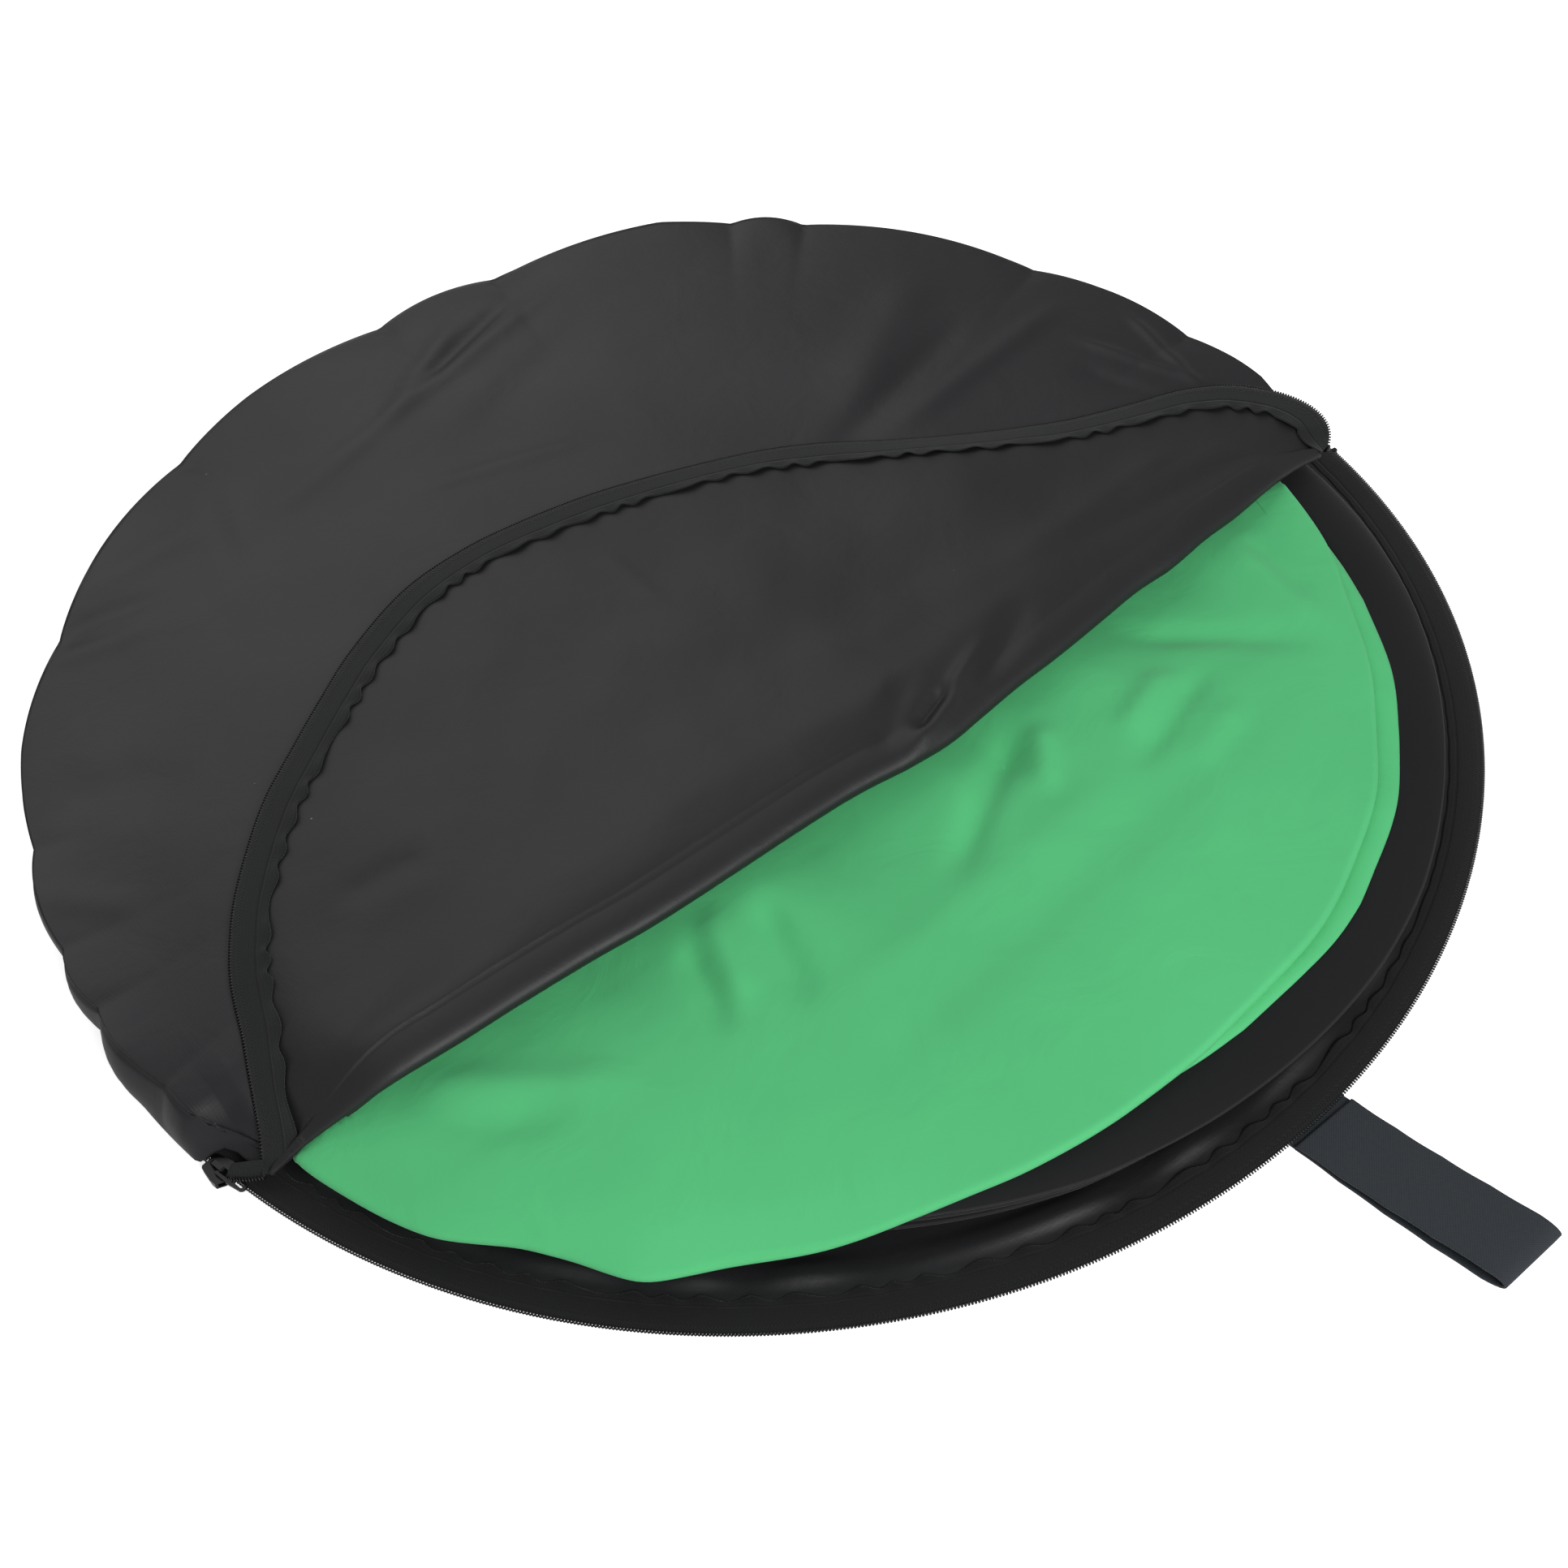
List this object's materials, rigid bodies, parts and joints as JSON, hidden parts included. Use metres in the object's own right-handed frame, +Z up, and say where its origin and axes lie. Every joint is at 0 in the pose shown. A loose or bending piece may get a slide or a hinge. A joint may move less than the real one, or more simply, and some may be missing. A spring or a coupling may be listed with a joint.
{
  "type": "folded backdrop in carry bag",
  "caption": "Collapsible green backdrop folded to a sprung disc inside a round zipped carry bag with an open half-round flap and a hand strap.",
  "frame": {"origin": "centre of the round base of the bag, on the floor it lies on", "axes": "+Z up out of the floor, -Y towards the mouth and the hand strap, X along the fold of the flap"},
  "size_m": [0.6548, 0.7418, 0.0522],
  "materials": {
    "bag_cloth": "coated polyester, soft sheen",
    "zip_tape": "woven polyester tape",
    "zip_coil": "nylon monofilament",
    "zip_metal": "black enamelled die-cast zinc",
    "strap_webbing": "folded polyester strip",
    "screen_cloth": "brushed stretch polyester",
    "sleeve_cloth": "black polyester edge binding",
    "spring_steel": "flat spring steel strip"
  },
  "bodies": {
    "bag": {"base_panel": "bag_cloth", "side_wall": "bag_cloth", "roof_panel": "bag_cloth", "lower_zip_tape": "zip_tape", "lower_zip_coil": "zip_coil", "zip_tail_coil": "zip_coil", "zip_bottom_stop": "zip_metal", "lower_top_stop": "zip_metal", "zip_start_tab": "bag_cloth", "zip_end_tab": "bag_cloth", "strap_root": "strap_webbing"},
    "flap": {"flap_panel": "bag_cloth", "fold_roll": "bag_cloth", "upper_zip_tape": "zip_tape", "upper_zip_coil": "zip_coil", "upper_top_stop": "zip_metal"},
    "slider": {"slider_body": "zip_metal", "slider_bridge": "zip_metal"},
    "puller": {"zip_puller": "zip_metal"},
    "strap": {"strap_loop": "strap_webbing"},
    "backdrop": {"cloth_top": "screen_cloth", "cloth_middle": "screen_cloth", "cloth_bottom": "screen_cloth", "edge_sleeve": "sleeve_cloth", "spring_hoop": "spring_steel", "spring_ferrule": "spring_steel"}
  },
  "joints": [
    {"name": "flap_fold", "type": "hinge", "parent": "bag", "child": "flap", "pos_m": [0, -0.1, 0.0484], "axis": [1, 0, 0], "range_deg": [0, 182]},
    {"name": "zip_slide", "type": "hinge", "parent": "bag", "child": "slider", "pos_m": [0, 0, 0.0035], "axis": [0, 0, 1], "range_deg": [0, 155]},
    {"name": "puller_swing", "type": "hinge", "parent": "slider", "child": "puller", "pos_m": [-0.32475, -0.05868, 0.0063], "axis": [-0.9848, -0.1736, 0], "range_deg": [0, 170]},
    {"name": "strap_lift", "type": "hinge", "parent": "bag", "child": "strap", "pos_m": [0.01851, -0.33098, 0.0007], "axis": [-0.9984, -0.0558, 0], "range_deg": [0, 80]},
    {"name": "backdrop_slide", "type": "slide", "parent": "bag", "child": "backdrop", "axis": [0, -0.9992, 0.04], "range_m": [0, 0.65]}
  ]
}
